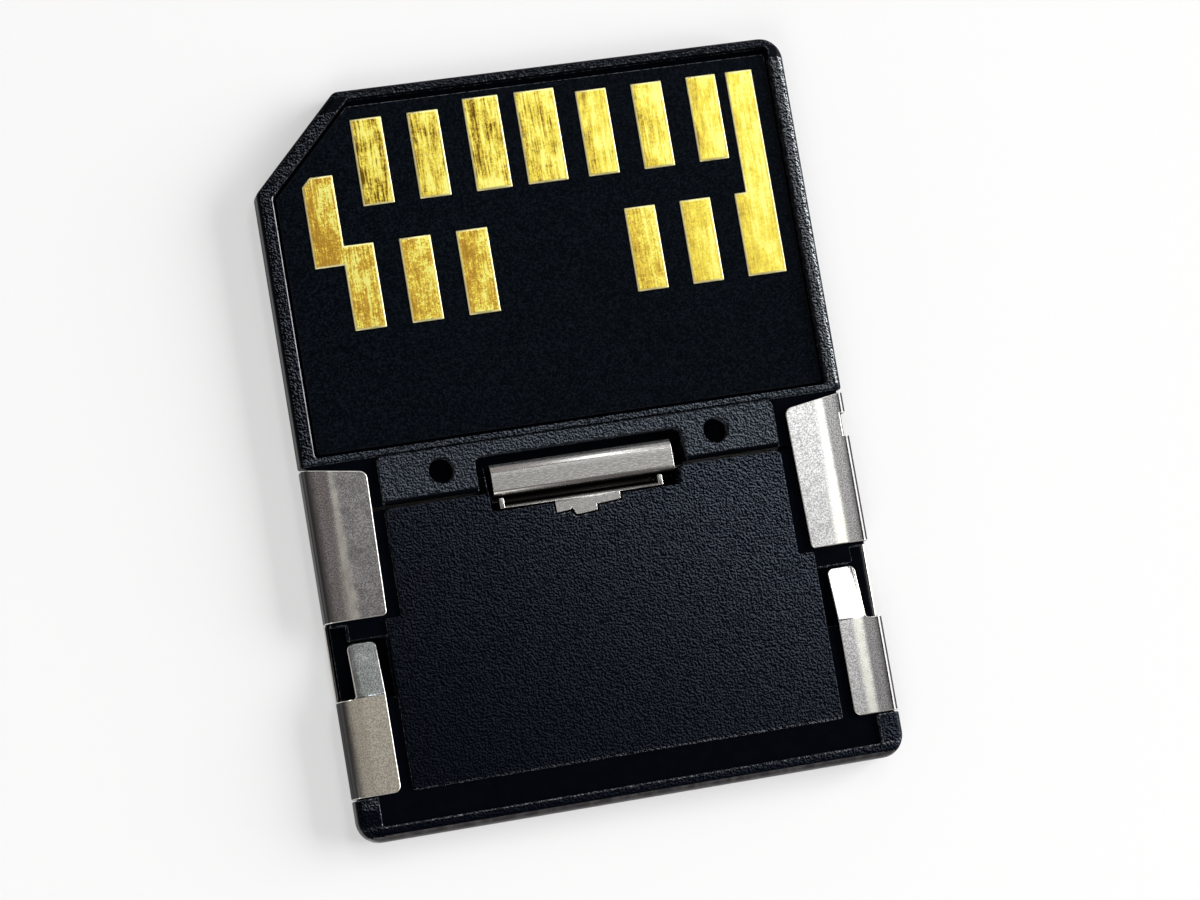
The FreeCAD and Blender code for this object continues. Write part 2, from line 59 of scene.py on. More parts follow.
# Card housing: a thin cover on the label side, welded to a frame with a window on the contact side.
# Both are moulded in blue-black plastic with a pebbled grain, whose flanks to the front right are
# painted lit. The rear strip is paler, its painted lit flanks thinning out to the left. The right rim
# carries a painted glare and a painted highlight line; the outer edges of the side rims and the front
# rim are painted shade, and the inner edge of the left rim carries a painted highlight.
housing_weld = 0.0004 * mm
housing_flat_angle = math.radians(0.6)
housing_sharp_angle = math.radians(32)
housing_edge = 0.045 * mm
housing_floor_level = 1.30 * mm
floor_least_upward = 0.5
face_slot, edge_slot, floor_slot = 0, 1, 2
housing_colour = (0.0010, 0.0012, 0.0020, 1.0)
housing_lit_flank_colour = (0.078, 0.084, 0.102, 1.0)
housing_roughness = 0.18
housing_pebble = 0.09 * mm
housing_pebble_depth = 0.0055 * mm
pebble_dome_share = -0.45
grain_lean = (0.3, 0.3, 0.0)
grain_patch_scale = 0.45
grain_weakest, grain_strongest = 0.45, 1.5
grain_fall_from, grain_fall_whole = -0.03, 0.15
grain_tip_polish = 0.12
plastic_sheen = (0.60, 0.82, 1.0, 1.0)
plastic_gloss = 0.03
strip_colour = (0.0040, 0.0056, 0.0082, 1.0)
strip_lit_flank_colour = (0.116, 0.135, 0.160, 1.0)
strip_front = 0.40 * mm
strip_flat_rear = -1.86 * mm
strip_half = 9 * mm
strip_left_light = 0.70
rim_glare_colour = (0.163, 0.175, 0.190, 1.0)
rim_glare_from, rim_glare_whole = 11.40 * mm, 11.46 * mm
rim_highlight_line_colour = (0.62, 0.66, 0.70, 1.0)
rim_line_from, rim_line_whole = 11.70 * mm, 11.755 * mm
rim_shade_from, rim_shade_whole = 11.85 * mm, 11.92 * mm
rim_sparse_power = 3.0
front_rim_rear = 15.08 * mm
front_rim_from, front_rim_whole = 15.58 * mm, 15.72 * mm
front_slope_shade, front_rim_top_shade = 0.95, 0.35
card_edge_colour = (0.004, 0.005, 0.007, 1.0)
card_edge_lit_colour = (0.130, 0.140, 0.155, 1.0)
card_edge_roughness = 0.28
edge_patch_pebbles = 2.5
edge_patch_from, edge_patch_whole = 0.38, 0.62
left_edge_highlight_colour = (0.34, 0.36, 0.385, 1.0)
left_edge_from, left_edge_to = -11.50 * mm, -11.32 * mm
highlight_from, highlight_whole, highlight_least = 0.25, 0.6, 0.45
dark_floor_colour = (0.0004, 0.0009, 0.0024, 1.0)
dark_floor_pale_colour = (0.0008, 0.0014, 0.0034, 1.0)
flow_mark = 5 * housing_pebble
flow_from, flow_whole = 0.35, 0.7


def merged_copy(node, name):
    """A new object with a solid's mesh, its points merged and its flat faces joined."""
    shape = bmesh.new()
    shape.from_mesh(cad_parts[node].data)
    bmesh.ops.remove_doubles(shape, verts=shape.verts, dist=housing_weld)
    bmesh.ops.dissolve_limit(
        shape, angle_limit=housing_flat_angle, verts=shape.verts, edges=shape.edges
    )
    mesh = bpy.data.meshes.new(name)
    shape.to_mesh(mesh)
    shape.free()
    for leftover in ("custom_normal", "UVMap"):
        if leftover in mesh.attributes:
            mesh.attributes.remove(mesh.attributes[leftover])
    piece = bpy.data.objects.new(name, mesh)
    bpy.context.scene.collection.objects.link(piece)
    return piece


def plain_mesh(piece):
    """Makes what the piece's modifiers give its own plain mesh, and removes the modifiers."""
    graph = bpy.context.evaluated_depsgraph_get()
    made = bpy.data.meshes.new_from_object(
        piece.evaluated_get(graph), preserve_all_data_layers=True, depsgraph=graph
    )
    piece.modifiers.clear()
    piece.data = made
    made.name = piece.name


def round_edges(piece, width, face_material, edge_material):
    """Rounds the sharp edges of a piece, with a finish of their own, and shades it as smooth."""
    piece.data.materials.clear()
    piece.data.materials.append(face_material)
    piece.data.materials.append(edge_material)
    for face in piece.data.polygons:
        face.use_smooth = True
        face.material_index = face_slot
    bevel = piece.modifiers.new("edge_rounding", "BEVEL")
    bevel.width = width
    bevel.segments = 2
    bevel.limit_method = "ANGLE"
    bevel.angle_limit = housing_sharp_angle
    bevel.use_clamp_overlap = False
    bevel.material = edge_slot
    normals = piece.modifiers.new("flat_face_normals", "WEIGHTED_NORMAL")
    normals.weight = 100
    normals.thresh = 0.0
    plain_mesh(piece)
    for point in piece.data.vertices:
        point.co.z = min(point.co.z, cad_box[1][2])


def finish_floors(piece, level, floor_material):
    """Gives the floors of a piece, its faces that look up from below a level, their own finish."""
    piece.data.materials.append(floor_material)
    for face in piece.data.polygons:
        if face.normal.z > floor_least_upward and face.center.z < level:
            face.material_index = floor_slot


def add_node(tree, kind, inputs=None, **settings):
    """Adds a node, sets its own settings, and sets or joins its inputs by name or number."""
    node = tree.nodes.new(kind)
    for setting, value in settings.items():
        setattr(node, setting, value)
    for socket, value in (inputs or {}).items():
        if isinstance(value, bpy.types.NodeSocket):
            tree.links.new(value, node.inputs[socket])
        else:
            node.inputs[socket].default_value = value
    return node


def new_group(name, inputs, outputs):
    """An empty shader node group with named number inputs and outputs."""
    group = bpy.data.node_groups.new(name, "ShaderNodeTree")
    for label, value in inputs.items():
        socket = group.interface.new_socket(
            label, in_out="INPUT", socket_type="NodeSocketFloat"
        )
        socket.default_value = value
    for label in outputs:
        group.interface.new_socket(
            label, in_out="OUTPUT", socket_type="NodeSocketFloat"
        )
    return group, group.nodes.new("NodeGroupInput"), group.nodes.new("NodeGroupOutput")


def new_material(name, **constants):
    """A material with one Principled shader, whose plain values are given by socket name."""
    material = bpy.data.materials.new(name)
    material.use_nodes = True
    tree = material.node_tree
    tree.nodes.clear()
    shader = tree.nodes.new("ShaderNodeBsdfPrincipled")
    output = tree.nodes.new("ShaderNodeOutputMaterial")
    tree.links.new(shader.outputs["BSDF"], output.inputs["Surface"])
    for label, value in constants.items():
        shader.inputs[label.replace("_", " ")].default_value = value
    return material, tree, shader


def math_node(tree, operation, first, second=0.5, clamp=False):
    """The result of one sum on two numbers or sockets."""
    node = add_node(
        tree, "ShaderNodeMath", {0: first, 1: second}, operation=operation, use_clamp=clamp
    )
    return node.outputs[0]


def ramp(tree, value, low, high, start=0.0, end=1.0):
    """A value carried smoothly from start to end while it goes from low to high."""
    node = add_node(
        tree,
        "ShaderNodeMapRange",
        {"Value": value, "From Min": low, "From Max": high, "To Min": start, "To Max": end},
        interpolation_type="SMOOTHSTEP",
    )
    return node.outputs["Result"]


def mixed_colour(tree, share, first, second):
    """A colour between two, by a share from 0 to 1."""
    first_colour, second_colour, result_colour = 6, 7, 2
    node = add_node(
        tree,
        "ShaderNodeMix",
        {"Factor": share, first_colour: first, second_colour: second},
        data_type="RGBA",
    )
    return node.outputs[result_colour]


def place_axes(tree):
    """The three Object coordinates of the point that is shaded."""
    coordinate = add_node(tree, "ShaderNodeTexCoord")
    axes = add_node(tree, "ShaderNodeSeparateXYZ", {0: coordinate.outputs["Object"]})
    return axes.outputs


def soft_clouds(tree, size, detail=2.0, distortion=0.0):
    """Soft clouds of one mean size: their strength at a point, from 0 to 1."""
    where = add_node(tree, "ShaderNodeTexCoord").outputs["Object"]
    clouds = add_node(
        tree,
        "ShaderNodeTexNoise",
        {"Vector": where, "Scale": 1 / size, "Detail": detail, "Distortion": distortion},
    )
    return clouds.outputs["Fac"]


def pebble_height(group, where, scale):
    """Height of short rounded pebbles at a place."""
    pebbles = add_node(
        group,
        "ShaderNodeTexNoise",
        {"Vector": where, "Scale": scale, "Detail": 1.5, "Roughness": 0.45, "Distortion": 0.5},
    )
    cells = add_node(
        group,
        "ShaderNodeTexVoronoi",
        {"Vector": where, "Scale": scale, "Smoothness": 0.6},
        feature="SMOOTH_F1",
    )
    domes = math_node(group, "MULTIPLY", cells.outputs["Distance"], pebble_dome_share)
    return math_node(group, "ADD", pebbles.outputs["Fac"], domes)


def pebbled_grain():
    """Mould texture of pebbles of one mean size.

    It puts out the height of a point, and how far the pebble falls there to the front right.
    """
    group, given, result = new_group(
        "pebbled_grain", {"Pebble size": housing_pebble}, ["Height", "Fall"]
    )
    size = given.outputs["Pebble size"]
    scale = math_node(group, "DIVIDE", 1.0, size)
    where = add_node(group, "ShaderNodeTexCoord").outputs["Object"]
    step = add_node(
        group, "ShaderNodeVectorMath", {0: grain_lean, "Scale": size}, operation="SCALE"
    )
    beside = add_node(
        group, "ShaderNodeVectorMath", {0: where, 1: step.outputs[0]}, operation="ADD"
    )
    height = pebble_height(group, where, scale)
    fall = math_node(group, "SUBTRACT", height, pebble_height(group, beside.outputs[0], scale))
    patch_scale = math_node(group, "MULTIPLY", scale, grain_patch_scale)
    uneven = add_node(
        group, "ShaderNodeTexNoise", {"Vector": where, "Scale": patch_scale, "Detail": 2.0}
    )
    strength = ramp(group, uneven.outputs["Fac"], 0.3, 0.7, grain_weakest, grain_strongest)
    fall = math_node(group, "MULTIPLY", fall, strength)
    group.links.new(height, result.inputs["Height"])
    group.links.new(fall, result.inputs["Fall"])
    return group


grain_group = pebbled_grain()


def grain_lit_flanks(tree, pebble):
    """The grain's height, and how far each point is on a pebble flank that falls to the front right,
    from 0 to 1; these flanks are painted lit.
    """
    grain = add_node(tree, "ShaderNodeGroup", node_tree=grain_group)
    grain.inputs["Pebble size"].default_value = pebble
    lit_flank = ramp(tree, grain.outputs["Fall"], grain_fall_from, grain_fall_whole)
    return grain.outputs["Height"], lit_flank


def grained_finish(tree, shader, colour, height, share, depth, roughness):
    """Joins a grain to a shader: its colour, its relief, and tips that are polished smoother."""
    tree.links.new(colour, shader.inputs["Base Color"])
    dull = roughness + grain_tip_polish
    tree.links.new(ramp(tree, share, 0.0, 1.0, dull, roughness), shader.inputs["Roughness"])
    bump = add_node(tree, "ShaderNodeBump", {"Strength": 1.0, "Distance": depth, "Height": height})
    tree.links.new(bump.outputs["Normal"], shader.inputs["Normal"])


def grained_plastic(name, colour, lit_colour, pebble, depth, roughness, stretch=None):
    """Moulded plastic with a pebbled grain, whose flanks to the front right are painted lit, in short
    patches along an edge.

    A stretch, given by its ends across the card and a colour, carries a painted highlight all along.
    """
    material, tree, shader = new_material(
        name, Specular_IOR_Level=plastic_gloss, Specular_Tint=plastic_sheen
    )
    height, share = grain_lit_flanks(tree, pebble)
    patches = soft_clouds(tree, edge_patch_pebbles * pebble)
    lit_patch = ramp(tree, patches, edge_patch_from, edge_patch_whole)
    share = math_node(tree, "MULTIPLY", share, lit_patch)
    grained = mixed_colour(tree, share, colour, lit_colour)
    if stretch:
        start, end, highlight_colour = stretch
        across = place_axes(tree)["X"]
        inside = math_node(
            tree,
            "MULTIPLY",
            math_node(tree, "GREATER_THAN", across, start),
            math_node(tree, "LESS_THAN", across, end),
        )
        highlight = ramp(tree, patches, highlight_from, highlight_whole, highlight_least, 1.0)
        highlight = math_node(tree, "MULTIPLY", inside, highlight)
        grained = mixed_colour(tree, highlight, grained, highlight_colour)
    grained_finish(tree, shader, grained, height, share, depth, roughness)
    return material


card_plastic, tree, shader = new_material(
    "card_plastic", Specular_IOR_Level=plastic_gloss, Specular_Tint=plastic_sheen
)
axes = place_axes(tree)
# Painted light: the pebble flanks to the front right are painted lit.
height, share = grain_lit_flanks(tree, housing_pebble)
before_tail = ramp(tree, axes["Y"], strip_flat_rear, strip_flat_rear + housing_pebble)
share = math_node(tree, "MULTIPLY", share, before_tail)
off_middle = math_node(tree, "ABSOLUTE", axes["X"])
# Painted shade: the pale flanks fade out over the outer edges of the side rims.
inside_rim = ramp(tree, off_middle, rim_shade_from, rim_shade_whole, 1.0, 0.0)
share = math_node(tree, "MULTIPLY", share, inside_rim)
# Painted highlight: a pale glare over the right rim and a bright line near its outer edge.
right_rim = ramp(tree, axes["X"], rim_glare_from, rim_glare_whole)
rim_line = ramp(tree, axes["X"], rim_line_from, rim_line_whole)
# Painted shade: the front rim's inner slope, and less so its top, lose most of their pale flanks.
front_rim_shade = math_node(
    tree,
    "MULTIPLY",
    math_node(tree, "GREATER_THAN", axes["Y"], front_rim_rear),
    ramp(tree, axes["Y"], front_rim_from, front_rim_whole, front_slope_shade, front_rim_top_shade),
)
sparse_power = ramp(tree, right_rim, 0.0, 1.0, rim_sparse_power, 1.0)
sparse = math_node(tree, "POWER", share, sparse_power)
sparse = math_node(tree, "MULTIPLY", sparse, math_node(tree, "SUBTRACT", 1.0, front_rim_shade))
on_strip = math_node(
    tree, "MULTIPLY", math_node(tree, "LESS_THAN", axes["Y"], strip_front), before_tail
)
# Painted light: the strip's painted lit flanks thin out towards the left.
strip_light = ramp(tree, axes["X"], -strip_half, strip_half, strip_left_light, 1.0)
strip_share = math_node(tree, "MULTIPLY", share, strip_light)
# The painted lit flanks turn into the painted glare and the painted highlight line on the right rim.
tip_colour = mixed_colour(tree, right_rim, housing_lit_flank_colour, rim_glare_colour)
tip_colour = mixed_colour(tree, rim_line, tip_colour, rim_highlight_line_colour)
rim_colour = mixed_colour(tree, sparse, housing_colour, tip_colour)
grained_strip = mixed_colour(tree, strip_share, strip_colour, strip_lit_flank_colour)
grained = mixed_colour(tree, on_strip, rim_colour, grained_strip)
grained_finish(tree, shader, grained, height, share, housing_pebble_depth, housing_roughness)

# Painted light: the rounded edges carry painted lit flanks in patches, and the left rim's inner edge a
# painted highlight.
card_edge = grained_plastic(
    "card_edge",
    card_edge_colour,
    card_edge_lit_colour,
    housing_pebble,
    0.5 * housing_pebble_depth,
    card_edge_roughness,
    (left_edge_from, left_edge_to, left_edge_highlight_colour),
)

dark_plastic, tree, shader = new_material("dark_plastic", Roughness=0.5, Specular_IOR_Level=0.015)
flow_share = ramp(tree, soft_clouds(tree, flow_mark, 3.0), flow_from, flow_whole)
tree.links.new(
    mixed_colour(tree, flow_share, dark_floor_colour, dark_floor_pale_colour),
    shader.inputs["Base Color"],
)

for node, name in (("card_cover", "card_cover_moulding"), ("card_frame", "card_frame_moulding")):
    moulding = merged_copy(node, name)
    round_edges(moulding, housing_edge, card_plastic, card_edge)
    finish_floors(moulding, housing_floor_level, dark_plastic)
    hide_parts(node)
    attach(moulding, "card")

# Contact board: a thin printed board glued in the window of the frame. Its outer side is covered by
# a matte, blue-black solder mask with a fine, faint speckle. The cut edge shows as a paler line along
# the front.
board_edge = 0.03 * mm
board_colour = (0.0002, 0.0010, 0.0024, 1.0)
board_pale_colour = (0.0048, 0.0074, 0.0112, 1.0)
board_speckle = 0.085 * mm
board_speckle_depth = 0.004 * mm
board_speckle_from, board_speckle_whole = 0.42, 0.66
board_smooth, board_dull = 0.30, 0.40
board_cut_colour = (0.004, 0.005, 0.007, 1.0)
board_cut_pale_colour = (0.110, 0.118, 0.132, 1.0)
board_cut_from, board_cut_whole = 0.35, 0.65
board_front_from, board_front_whole = 14.90 * mm, 15.05 * mm
board_side_share = 0.05

board_mask, tree, shader = new_material("board_mask", Specular_IOR_Level=0.02)
mask_speckle = soft_clouds(tree, board_speckle, 2.0, 0.8)
mask_share = ramp(tree, mask_speckle, board_speckle_from, board_speckle_whole)
tree.links.new(
    mixed_colour(tree, mask_share, board_colour, board_pale_colour), shader.inputs["Base Color"]
)
tree.links.new(
    ramp(tree, mask_share, 0.0, 1.0, board_smooth, board_dull), shader.inputs["Roughness"]
)
mask_bump = add_node(
    tree,
    "ShaderNodeBump",
    {"Strength": 1.0, "Distance": board_speckle_depth, "Height": mask_speckle},
)
tree.links.new(mask_bump.outputs["Normal"], shader.inputs["Normal"])

board_cut, tree, shader = new_material("board_cut", Roughness=0.5, Specular_IOR_Level=0.1)
cut_share = math_node(
    tree,
    "MULTIPLY",
    ramp(tree, soft_clouds(tree, 2 * board_speckle), board_cut_from, board_cut_whole),
    ramp(tree, place_axes(tree)["Y"], board_front_from, board_front_whole, board_side_share, 1.0),
)
tree.links.new(
    mixed_colour(tree, cut_share, board_cut_colour, board_cut_pale_colour),
    shader.inputs["Base Color"],
)

board = merged_copy("contact_board", "contact_board_laminate")
round_edges(board, board_edge, board_mask, board_cut)
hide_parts("contact_board")
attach(board, "card")

# Contacts: thirteen flat pads of gold-plated copper on the board, in two rows. The plating is soft:
# the springs of a reader have drawn long scratches over the front row and dulled the pads on the
# left to brown. The pale border of each pad and its pale rounded edge are a painted highlight.
contact_count = 13
contact_edge = 0.03 * mm
contact_border = 0.11 * mm
contact_least_upward = 0.9
contact_row_middle = 10.0 * mm
gold_tones = (
    (0.00, (1.00, 0.96, 0.26, 1.0)),
    (0.20, (1.00, 0.85, 0.105, 1.0)),
    (0.50, (0.76, 0.58, 0.085, 1.0)),
    (0.72, (0.42, 0.28, 0.035, 1.0)),
    (1.00, (0.15, 0.085, 0.006, 1.0)),
)
gold_copper_colour = (0.66, 0.375, 0.05, 1.0)
gold_border_highlight_colour = (1.0, 0.95, 0.50, 1.0)
gold_edge_highlight_colour = (0.80, 0.72, 0.36, 1.0)
gold_mottle = 0.12 * mm
gold_edge_mottle = 0.2 * mm
gold_border_highlight_share = 0.85
fresh_contrast, worn_contrast = 0.55, 1.45
fresh_tone, worn_tone = 0.16, 0.39
left_side_tone, right_side_tone = 0.22, -0.06
left_side_end = 0.6
rear_row_tone = 0.05
rear_row_copper = 0.85
gold_smooth, gold_dull = 0.33, 0.52
pad_wear_change = 0.10
pad_wear_turn = 2.3
scratch_across = 0.075 * mm
scratch_along = 2.0 * mm
scratch_depth = 0.003 * mm


def plated_pad_tree():
    """Plates a flat outline to a thickness, and marks what its finish depends on.

    The marks are its border, the way across from its left side, its wear and its streaks.
    """
    tree = bpy.data.node_groups.new("plated_pad", "GeometryNodeTree")
    sockets = tree.interface
    sockets.new_socket("Plan", in_out="INPUT", socket_type="NodeSocketGeometry")
    sockets.new_socket("Thickness", in_out="INPUT", socket_type="NodeSocketFloat")
    sockets.new_socket("Wear", in_out="INPUT", socket_type="NodeSocketFloat")
    sockets.new_socket("Streaks", in_out="INPUT", socket_type="NodeSocketFloat")
    sockets.new_socket("Plating", in_out="INPUT", socket_type="NodeSocketMaterial")
    sockets.new_socket("Pad", in_out="OUTPUT", socket_type="NodeSocketGeometry")
    given = tree.nodes.new("NodeGroupInput").outputs
    neighbours = add_node(tree, "GeometryNodeInputMeshEdgeNeighbors")
    at_border = math_node(tree, "LESS_THAN", neighbours.outputs["Face Count"], 1.5)
    bordered = add_node(
        tree,
        "GeometryNodeStoreNamedAttribute",
        {"Geometry": given["Plan"], "Name": "border", "Value": at_border},
        data_type="FLOAT",
        domain="POINT",
    ).outputs["Geometry"]
    up = add_node(tree, "ShaderNodeCombineXYZ", {"Z": given["Thickness"]})
    raised = add_node(
        tree,
        "GeometryNodeExtrudeMesh",
        {"Mesh": bordered, "Offset": up.outputs[0], "Offset Scale": 1.0, "Individual": False},
        mode="FACES",
    )
    underside = add_node(tree, "GeometryNodeFlipFaces", {"Mesh": bordered})
    closed = add_node(tree, "GeometryNodeJoinGeometry", {"Geometry": underside.outputs["Mesh"]})
    tree.links.new(raised.outputs["Mesh"], closed.inputs["Geometry"])
    welded = add_node(
        tree,
        "GeometryNodeMergeByDistance",
        {"Geometry": closed.outputs["Geometry"], "Distance": housing_weld},
    )
    place = add_node(
        tree, "ShaderNodeSeparateXYZ", {0: add_node(tree, "GeometryNodeInputPosition").outputs[0]}
    )
    ends = add_node(
        tree,
        "GeometryNodeAttributeStatistic",
        {"Geometry": welded.outputs["Geometry"], "Attribute": place.outputs["X"]},
    ).outputs
    across = add_node(
        tree,
        "ShaderNodeMapRange",
        {"Value": place.outputs["X"], "From Min": ends["Min"], "From Max": ends["Max"]},
    )
    marked = welded.outputs["Geometry"]
    marks = {
        "across": across.outputs["Result"],
        "wear": given["Wear"],
        "streaks": given["Streaks"],
    }
    for label, value in marks.items():
        store = add_node(
            tree,
            "GeometryNodeStoreNamedAttribute",
            {"Geometry": marked, "Name": label, "Value": value},
            data_type="FLOAT",
            domain="POINT",
        )
        marked = store.outputs["Geometry"]
    real = add_node(tree, "GeometryNodeRealizeInstances", {"Geometry": marked})
    plated = add_node(
        tree,
        "GeometryNodeSetMaterial",
        {"Geometry": real.outputs["Geometry"], "Material": given["Plating"]},
    )
    add_node(tree, "NodeGroupOutput", {"Pad": plated.outputs["Geometry"]})
    return tree


contact_gold, tree, shader = new_material("contact_gold", Metallic=1.0)
axes = place_axes(tree)
scratches = {}
for label, share, detail in (("fine", 1.0, 2.0), ("broad", 0.3, 3.0)):
    drawn = add_node(
        tree,
        "ShaderNodeCombineXYZ",
        {
            "X": math_node(tree, "MULTIPLY", axes["X"], share / scratch_across),
            "Y": math_node(tree, "MULTIPLY", axes["Y"], 2 * share / scratch_along),
        },
    )
    lines = add_node(
        tree,
        "ShaderNodeTexNoise",
        {"Vector": drawn.outputs[0], "Scale": 1.0, "Detail": detail, "Distortion": 0.15},
    )
    scratches[label] = lines.outputs["Fac"]
gold_clouds = soft_clouds(tree, 7 * gold_mottle, 3.0)
gold_specks = soft_clouds(tree, gold_mottle, 3.0, 1.2)
across, worn, streaks, border = (
    add_node(tree, "ShaderNodeAttribute", attribute_name=label).outputs["Fac"]
    for label in ("across", "wear", "streaks", "border")
)
spread = 0.0
for layer, at_rear, at_front in (
    (gold_specks, 1.7, 1.2),
    (gold_clouds, 1.3, 1.6),
    (scratches["broad"], 0.9, 1.6),
    (scratches["fine"], 1.2, 1.7),
):
    strength = ramp(tree, streaks, 0.0, 1.0, at_rear, at_front)
    away = math_node(tree, "MULTIPLY", math_node(tree, "SUBTRACT", layer, 0.5), strength)
    spread = math_node(tree, "ADD", spread, away)
contrast = ramp(tree, worn, 0.0, 1.0, fresh_contrast, worn_contrast)
dulled = math_node(tree, "MULTIPLY", spread, contrast)
for tone in (
    ramp(tree, worn, 0.0, 1.0, fresh_tone, worn_tone),
    ramp(tree, across, 0.0, left_side_end, left_side_tone, right_side_tone),
    ramp(tree, streaks, 0.0, 1.0, rear_row_tone, 0.0),
):
    dulled = math_node(tree, "ADD", dulled, tone)
tones = add_node(tree, "ShaderNodeValToRGB", {"Fac": dulled})
tone_stops = tones.color_ramp.elements
while len(tone_stops) < len(gold_tones):
    tone_stops.new(1.0)
for stop, (position, colour) in zip(tone_stops, gold_tones):
    stop.position = position
    stop.color = colour
copper = math_node(tree, "MULTIPLY", worn, ramp(tree, streaks, 0.0, 1.0, rear_row_copper, 0.0))
copper = math_node(tree, "MULTIPLY", copper, ramp(tree, dulled, 0.1, 0.45))
gold_tint = mixed_colour(tree, copper, tones.outputs["Color"], gold_copper_colour)
# Painted highlight: a pale border round each pad's top.
border_highlight = ramp(tree, border, 0.1, 0.6, 0.0, gold_border_highlight_share)
tree.links.new(
    mixed_colour(tree, border_highlight, gold_tint, gold_border_highlight_colour), shader.inputs["Base Color"]
)
tree.links.new(ramp(tree, dulled, 0.0, 0.7, gold_smooth, gold_dull), shader.inputs["Roughness"])
gold_relief = math_node(tree, "ADD", scratches["fine"], gold_specks)
gold_bump = add_node(
    tree, "ShaderNodeBump", {"Strength": 1.0, "Distance": scratch_depth, "Height": gold_relief}
)
tree.links.new(gold_bump.outputs["Normal"], shader.inputs["Normal"])

# Painted highlight: the pads' rounded edges are painted pale.
contact_edge_gold, tree, shader = new_material("contact_edge_gold", Metallic=1.0, Roughness=0.4)
edge_share = ramp(tree, soft_clouds(tree, gold_edge_mottle), 0.45, 0.7)
tree.links.new(
    mixed_colour(tree, edge_share, gold_edge_highlight_colour, gold_border_highlight_colour),
    shader.inputs["Base Color"],
)

pad_tree = plated_pad_tree()
pad_inputs = {
    item.name: item.identifier
    for item in pad_tree.interface.items_tree
    if item.in_out == "INPUT"
}
for number in range(1, contact_count + 1):
    node = "contact_" + str(number)
    pad = merged_copy(node, "contact_pad_" + str(number))
    low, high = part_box(node)
    plan = bmesh.new()
    plan.from_mesh(pad.data)
    plan.normal_update()
    others = [face for face in plan.faces if face.normal.z < contact_least_upward]
    bmesh.ops.delete(plan, geom=others, context="FACES")
    bmesh.ops.inset_region(
        plan, faces=plan.faces[:], thickness=contact_border, use_boundary=True, use_even_offset=True
    )
    for point in plan.verts:
        point.co.z = low.z
    plan.to_mesh(pad.data)
    plan.free()
    plating = pad.modifiers.new("plating", "NODES")
    plating.node_group = pad_tree
    plating[pad_inputs["Thickness"]] = high.z - low.z
    to_left = 0.5 - (low.x + high.x) / (2 * (cad_box[1][0] - cad_box[0][0]))
    plating[pad_inputs["Wear"]] = to_left + pad_wear_change * math.sin(pad_wear_turn * number)
    front_share = (high.y - max(low.y, contact_row_middle)) / (high.y - low.y)
    plating[pad_inputs["Streaks"]] = min(max(front_share, 0.0), 1.0)
    plating[pad_inputs["Plating"]] = contact_gold
    plain_mesh(pad)
    round_edges(pad, contact_edge, contact_gold, contact_edge_gold)
    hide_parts(node)
    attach(pad, "card")

# Inner parts: the memory chip, the controller and the small capacitors and resistors soldered under
# the board. The closed housing hides them, so they keep their plain forms in moulded epoxy and
# fired ceramic.
inner_grain = 0.06 * mm
inner_finishes = (
    (
        "chip_epoxy",
        ("memory_chip", "controller_chip"),
        (0.012, 0.012, 0.013, 1.0),
        (0.022, 0.022, 0.023, 1.0),
    ),
    ("capacitor_ceramic", ("capacitors",), (0.30, 0.20, 0.12, 1.0), (0.36, 0.25, 0.16, 1.0)),
    ("resistor_ceramic", ("resistors",), (0.02, 0.02, 0.022, 1.0), (0.05, 0.05, 0.055, 1.0)),
)
for name, nodes, dark, pale in inner_finishes:
    finish, tree, shader = new_material(name, Roughness=0.6)
    share = ramp(tree, soft_clouds(tree, inner_grain), 0.35, 0.65)
    tree.links.new(mixed_colour(tree, share, dark, pale), shader.inputs["Base Color"])
    for node in nodes:
        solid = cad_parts[node]
        solid.data.materials.clear()
        solid.data.materials.append(finish)

# Adapter body: the slab that makes the short card as long as a full-size one. It is moulded in the
# same pebbled plastic, its painted lit flanks paler towards the front right as painted light, with
# painted highlights along its rear edges and on the left post, and painted shade on the outer rear
# rim. The floors round the land are left smooth and dark, and the rear side is glossier and painted
# paler, a painted reflection.
body_edge = 0.05 * mm
body_floor_level = 1.30 * mm
side_slot = 3
side_rounding = 0.24 * mm
body_colour = (0.0002, 0.0007, 0.0022, 1.0)
body_lit_flank_colour = (0.073, 0.087, 0.109, 1.0)
body_edge_highlight_colour = (0.20, 0.21, 0.235, 1.0)
body_roughness = 0.16
body_pebble = 0.092 * mm
body_pebble_depth = 0.004 * mm
body_rounding_colour = (0.010, 0.012, 0.016, 1.0)
body_rounding_lit_colour = (0.270, 0.290, 0.320, 1.0)
body_rounding_roughness = 0.30
body_side_reflection_colour = (0.020, 0.019, 0.020, 1.0)
body_side_pale_reflection_colour = (0.046, 0.043, 0.044, 1.0)
body_side_smooth, body_side_dull = 0.30, 0.40
light_gradient_lean = 1.16
light_gradient_full_from = 2.0 * mm
light_gradient_halving = 7.8 * mm
light_gradient_most = 1.15
land_rear_edge = -14.05 * mm
rear_rim_edge = -15.38 * mm
highlight_edge_width = 0.14 * mm
highlight_edge_left, highlight_edge_right = -12 * mm, 8 * mm
highlight_edge_left_share = 0.45
highlight_edge_share = 0.8
rear_rim_shade_to = -15.54 * mm
rear_rim_shade_from = -15.72 * mm
rear_rim_shade_share = 0.15
post_highlight_middle = (-11.38 * mm, -14.40 * mm)
post_highlight_half = (0.42 * mm, 0.27 * mm)
post_highlight_fade = 0.14 * mm
post_highlight_share = 0.6

adapter_plastic, tree, shader = new_material(
    "adapter_plastic", Specular_IOR_Level=plastic_gloss, Specular_Tint=plastic_sheen
)
axes = place_axes(tree)
height, share = grain_lit_flanks(tree, body_pebble)
forward = math_node(tree, "MULTIPLY", axes["Y"], light_gradient_lean)
to_front_right = math_node(tree, "ADD", axes["X"], forward)
